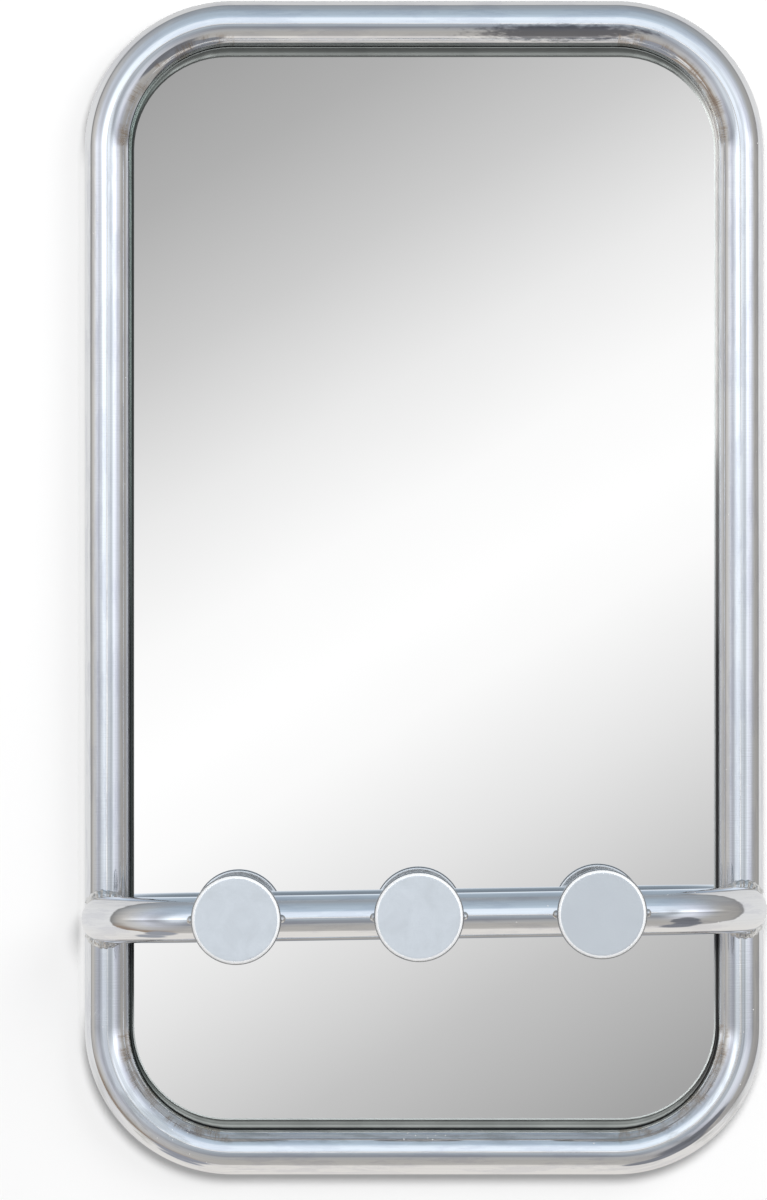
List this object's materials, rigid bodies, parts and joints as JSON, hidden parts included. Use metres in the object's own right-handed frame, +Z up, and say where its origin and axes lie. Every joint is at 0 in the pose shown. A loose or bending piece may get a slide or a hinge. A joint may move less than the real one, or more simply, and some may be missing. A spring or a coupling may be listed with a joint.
{
  "type": "wall mirror with rail and pegs",
  "caption": "Wall mirror in a bent round-tube frame, with a stand-off rail across the lower part that carries flat disc pegs for coats.",
  "frame": {"origin": "on the wall plane, midway between the entry holes of the two keyholes the mirror hangs from", "axes": "+Z up, +X to the right seen from the front, +Y into the wall; the mirror faces -Y"},
  "size_m": [0.3834, 0.1009, 0.657],
  "materials": {
    "polished_tube": "polished bare aluminium with light scuffs",
    "spigot_aluminium": "mill finish",
    "weld_bead": "rippled as-welded bead",
    "peg_aluminium": "satin turned face",
    "mirror": "silvered float glass",
    "back_coat": "lacquer",
    "seal": "matt",
    "foam": "soft foam",
    "board": "pressed hardboard",
    "tab_aluminium": "mill finish",
    "screw_steel": "zinc plated",
    "hanger_steel": "mill finish",
    "pad_rubber": "matt"
  },
  "bodies": {
    "root": {"frame_upper_bend": "polished_tube", "frame_lower_bend": "polished_tube", "frame_spigot_left": "spigot_aluminium", "frame_spigot_right": "spigot_aluminium", "rail_tube": "polished_tube", "rail_weld_left": "weld_bead", "rail_weld_right": "weld_bead", "peg_disc_left": "peg_aluminium", "peg_disc_middle": "peg_aluminium", "peg_disc_right": "peg_aluminium", "peg_weld_left": "weld_bead", "peg_weld_middle": "weld_bead", "peg_weld_right": "weld_bead", "mirror_glass": "mirror", "silver_coat": "back_coat", "edge_seal": "seal", "foam_tape": "foam", "backing_board": "board", "tabs_left": "tab_aluminium", "tabs_right": "tab_aluminium", "tab_top": "tab_aluminium", "tab_bottom": "tab_aluminium", "tab_screws": "screw_steel", "hanger_plate_left": "hanger_steel", "hanger_plate_right": "hanger_steel", "hanger_weld_left": "weld_bead", "hanger_weld_right": "weld_bead", "wall_pad_left": "pad_rubber", "wall_pad_right": "pad_rubber"}
  },
  "joints": []
}
